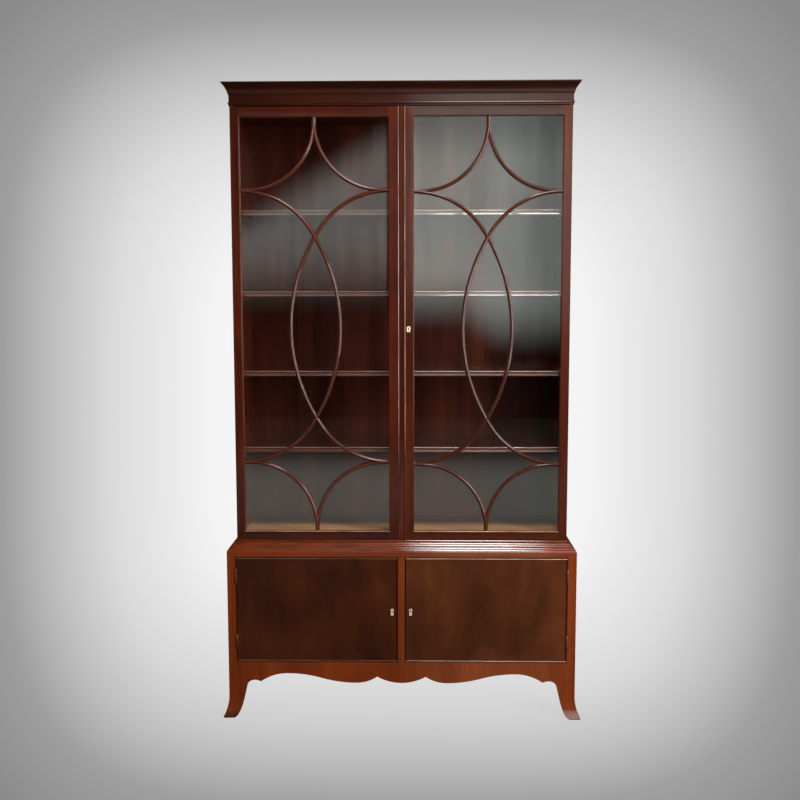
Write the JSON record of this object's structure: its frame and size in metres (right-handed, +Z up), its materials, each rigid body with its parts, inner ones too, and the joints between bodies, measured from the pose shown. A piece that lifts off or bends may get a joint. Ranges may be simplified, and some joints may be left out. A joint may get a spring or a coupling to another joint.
{
  "type": "display cabinet",
  "caption": "Tall glazed display cabinet with curved tracery doors over a low cupboard, coved cornice, reeded waist moulding, shaped apron and swept bracket feet.",
  "frame": {"origin": "on the floor, under the centre of the whole outline", "axes": "+Z up, the doors face -Y, the back of the case faces +Y, +X to the right as seen from the front"},
  "size_m": [1.2674, 0.3408, 2.213],
  "materials": {
    "mahogany_case": "waxed mahogany of the outside case, figured",
    "mahogany_door": "waxed mahogany of the door frames and panels",
    "mahogany_moulding": "waxed mahogany mouldings and beads",
    "carcass_board": "duller inner boards and back panels",
    "shelf_board": "shelves with a polished front edge",
    "old_glass": "clear old window glass, slightly rippled",
    "brass_furniture": "worn brass of hinges, pivots and escutcheons",
    "lock_steel": "dull steel of the lock cases and bolts"
  },
  "bodies": {
    "cabinet": {"base_side_left": "mahogany_case", "base_side_right": "mahogany_case", "base_bottom_board": "carcass_board", "base_top_board": "carcass_board", "base_back_panel": "carcass_board", "base_stiles": "mahogany_case", "base_centre_muntin": "mahogany_case", "base_top_rail": "mahogany_case", "front_apron": "mahogany_case", "side_aprons": "mahogany_case", "front_feet": "mahogany_case", "rear_feet": "mahogany_case", "base_shelf": "shelf_board", "shelf_bearers": "carcass_board", "waist_moulding": "mahogany_moulding", "upper_side_left": "mahogany_case", "upper_side_right": "mahogany_case", "upper_bottom_board": "carcass_board", "upper_top_board": "carcass_board", "upper_back_panel": "carcass_board", "upper_plinth_rail": "mahogany_case", "frieze_rail": "mahogany_case", "cornice": "mahogany_moulding", "shelf_1": "shelf_board", "shelf_2": "shelf_board", "shelf_3": "shelf_board", "shelf_4": "shelf_board", "upper_pivot_sockets": "brass_furniture", "lower_hinge_case_leaves": "brass_furniture"},
    "upper_left_door": {"upper_left_door_frame": "mahogany_door", "upper_left_tracery": "mahogany_moulding", "upper_left_glass": "old_glass", "upper_left_glazing_beads": "mahogany_moulding", "upper_left_pivots": "brass_furniture", "upper_left_bolt_guides": "brass_furniture"},
    "upper_right_door": {"upper_right_door_frame": "mahogany_door", "upper_right_tracery": "mahogany_moulding", "upper_right_glass": "old_glass", "upper_right_glazing_beads": "mahogany_moulding", "upper_right_pivots": "brass_furniture", "upper_right_cover_bead": "mahogany_moulding", "upper_right_lock": "lock_steel", "upper_right_escutcheon": "brass_furniture"},
    "lower_left_door": {"lower_left_door_panel": "mahogany_door", "lower_left_cock_bead": "mahogany_moulding", "lower_left_hinge_leaves": "brass_furniture", "lower_left_lock": "lock_steel", "lower_left_escutcheon": "brass_furniture"},
    "lower_right_door": {"lower_right_door_panel": "mahogany_door", "lower_right_cock_bead": "mahogany_moulding", "lower_right_hinge_leaves": "brass_furniture", "lower_right_lock": "lock_steel", "lower_right_escutcheon": "brass_furniture"},
    "upper_lock_bolt": {"upper_right_lock_bolt": "lock_steel"},
    "lower_left_lock_bolt": {"lower_left_lock_bolt": "lock_steel"},
    "lower_right_lock_bolt": {"lower_right_lock_bolt": "lock_steel"},
    "top_slide_bolt": {"upper_left_top_bolt": "brass_furniture"},
    "bottom_slide_bolt": {"upper_left_bottom_bolt": "brass_furniture"}
  },
  "joints": [
    {"name": "upper_left_door_pivot", "type": "hinge", "parent": "cabinet", "child": "upper_left_door", "pos_m": [-0.5755, -0.11215, 1.38475], "axis": [0, 0, -1], "range_deg": [0, 105]},
    {"name": "upper_right_door_pivot", "type": "hinge", "parent": "cabinet", "child": "upper_right_door", "pos_m": [0.5755, -0.11215, 1.38475], "axis": [0, 0, 1], "range_deg": [0, 105]},
    {"name": "lower_left_door_hinge", "type": "hinge", "parent": "cabinet", "child": "lower_left_door", "pos_m": [-0.5835, -0.15365, 0.391], "axis": [0, 0, -1], "range_deg": [0, 100]},
    {"name": "lower_right_door_hinge", "type": "hinge", "parent": "cabinet", "child": "lower_right_door", "pos_m": [0.5835, -0.15365, 0.391], "axis": [0, 0, 1], "range_deg": [0, 100]},
    {"name": "upper_lock_bolt_slide", "type": "slide", "parent": "upper_right_door", "child": "upper_lock_bolt", "axis": [-1, 0, 0], "range_m": [0, 0.006]},
    {"name": "lower_left_lock_bolt_slide", "type": "slide", "parent": "lower_left_door", "child": "lower_left_lock_bolt", "axis": [1, 0, 0], "range_m": [0, 0.006]},
    {"name": "lower_right_lock_bolt_slide", "type": "slide", "parent": "lower_right_door", "child": "lower_right_lock_bolt", "axis": [-1, 0, 0], "range_m": [0, 0.006]},
    {"name": "top_bolt_slide", "type": "slide", "parent": "upper_left_door", "child": "top_slide_bolt", "axis": [0, 0, 1], "range_m": [0, 0.012]},
    {"name": "bottom_bolt_slide", "type": "slide", "parent": "upper_left_door", "child": "bottom_slide_bolt", "axis": [0, 0, -1], "range_m": [0, 0.012]}
  ]
}
